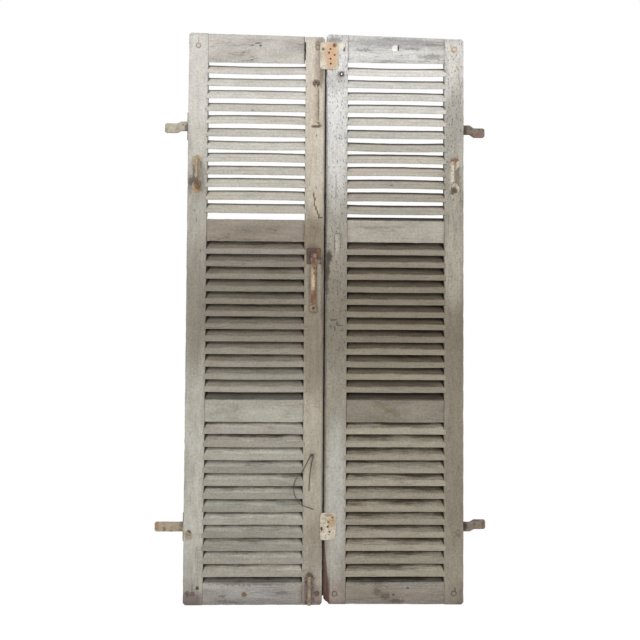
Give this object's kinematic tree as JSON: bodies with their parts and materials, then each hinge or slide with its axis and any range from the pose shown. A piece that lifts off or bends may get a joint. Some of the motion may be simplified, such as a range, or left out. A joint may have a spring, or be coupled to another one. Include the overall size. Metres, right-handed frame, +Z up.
{
  "type": "pair of louvred shutters",
  "caption": "Weathered timber shutter pair with fixed louvre slats, stop plates, cabin hook, swing latch, foot bolt and pull handles, swinging on iron wall anchors.",
  "frame": {"origin": "foot of the meeting line between the closed leaves, on the plane of their room-side faces", "axes": "+X towards the right leaf, +Y away from the room, the way the leaves open, +Z up"},
  "size_m": [1.131, 0.0853, 1.9389],
  "materials": {
    "painted_wood": "old grey-green paint, chalked and worn to grey wood",
    "slat_wood": "old grey-green paint, dirty and worn at the edges",
    "peg_wood": "weathered end grain under worn paint",
    "forged_iron": "dark forged iron with rust and paint remains",
    "rusty_iron": "rusted iron",
    "painted_iron": "cream paint, stained and broken by rust"
  },
  "bodies": {
    "wall_anchors": {"left_upper_anchor": "forged_iron", "left_lower_anchor": "forged_iron", "right_upper_anchor": "forged_iron", "right_lower_anchor": "forged_iron"},
    "left_leaf": {"left_outer_stile": "painted_wood", "left_meeting_stile": "painted_wood", "left_top_rail": "painted_wood", "left_upper_rail": "painted_wood", "left_lower_rail": "painted_wood", "left_bottom_rail": "painted_wood", "left_upper_slats": "slat_wood", "left_middle_slats": "slat_wood", "left_lower_slats": "slat_wood", "left_pegs": "peg_wood", "cover_strip": "painted_wood", "left_upper_hinge": "forged_iron", "left_lower_hinge": "forged_iron", "left_hinge_pins": "forged_iron", "left_hinge_screws": "rusty_iron", "left_hinge_rivet": "rusty_iron", "left_handle": "painted_iron", "left_handle_screws": "rusty_iron", "hook_screw": "rusty_iron", "latch_plate": "rusty_iron", "latch_plate_nails": "rusty_iron", "latch_rivet": "rusty_iron", "bolt_plate": "painted_iron", "bolt_screws": "rusty_iron", "wire_nail": "rusty_iron", "hanging_wire": "rusty_iron"},
    "right_leaf": {"right_outer_stile": "painted_wood", "right_meeting_stile": "painted_wood", "right_top_rail": "painted_wood", "right_upper_rail": "painted_wood", "right_lower_rail": "painted_wood", "right_bottom_rail": "painted_wood", "right_upper_slats": "slat_wood", "right_middle_slats": "slat_wood", "right_lower_slats": "slat_wood", "right_pegs": "peg_wood", "right_upper_hinge": "forged_iron", "right_lower_hinge": "forged_iron", "right_hinge_pins": "forged_iron", "right_hinge_screws": "rusty_iron", "right_hinge_rivet": "painted_iron", "right_handle": "painted_iron", "right_handle_screws": "rusty_iron", "top_stop_plate": "painted_iron", "bottom_stop_plate": "painted_iron", "top_stop_nails": "rusty_iron", "bottom_stop_nails": "rusty_iron", "right_stud": "painted_iron"},
    "hook": {"cabin_hook": "painted_iron"},
    "latch": {"latch_bar": "rusty_iron"},
    "bolt": {"bolt_rod": "painted_iron"}
  },
  "joints": [
    {"name": "left_leaf_swing", "type": "hinge", "parent": "wall_anchors", "child": "left_leaf", "pos_m": [-0.47, 0.04, 0.251], "axis": [0, 0, 1], "range_deg": [0, 170]},
    {"name": "right_leaf_swing", "type": "hinge", "parent": "wall_anchors", "child": "right_leaf", "pos_m": [0.477, 0.04, 0.251], "axis": [0, 0, 1], "range_deg": [-153, 0]},
    {"name": "hook_swing", "type": "hinge", "parent": "left_leaf", "child": "hook", "pos_m": [-0.0325, -0.0048, 1.76895], "axis": [0, 1, 0], "range_deg": [0, 140]},
    {"name": "latch_swing", "type": "hinge", "parent": "left_leaf", "child": "latch", "pos_m": [-0.0375, -0.0059, 1.17291], "axis": [0, 1, 0], "range_deg": [0, 100]},
    {"name": "bolt_slide", "type": "slide", "parent": "left_leaf", "child": "bolt", "axis": [0, 0, 1], "range_m": [-0.024, 0]}
  ],
  "couplings": [
    {"joint": "right_leaf_swing", "follows": "left_leaf_swing", "ratio": -0.9}
  ]
}
